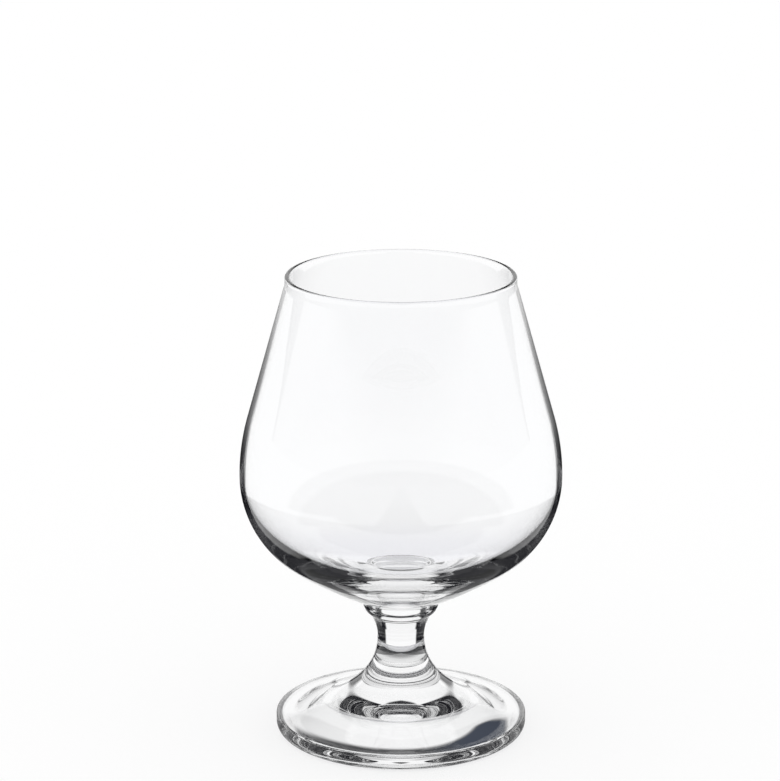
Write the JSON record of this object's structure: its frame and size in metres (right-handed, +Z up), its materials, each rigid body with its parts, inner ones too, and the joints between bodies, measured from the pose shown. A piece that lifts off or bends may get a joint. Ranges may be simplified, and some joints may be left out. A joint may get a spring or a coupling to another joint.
{
  "type": "brandy snifter",
  "caption": "Clear stemmed drinking glass with a wide rounded bowl that narrows to the rim, a short drawn stem and a broad round foot.",
  "frame": {"origin": "on the table, at the centre of the foot", "axes": "+Z up along the axis of the glass; X and Y lie in the table and are alike, because the glass is round"},
  "size_m": [0.0898, 0.0898, 0.1318],
  "materials": {
    "clear_glass": "polished, fire-smooth clear glass"
  },
  "bodies": {
    "root": {"bowl": "clear_glass", "stem": "clear_glass", "foot": "clear_glass"}
  },
  "joints": []
}
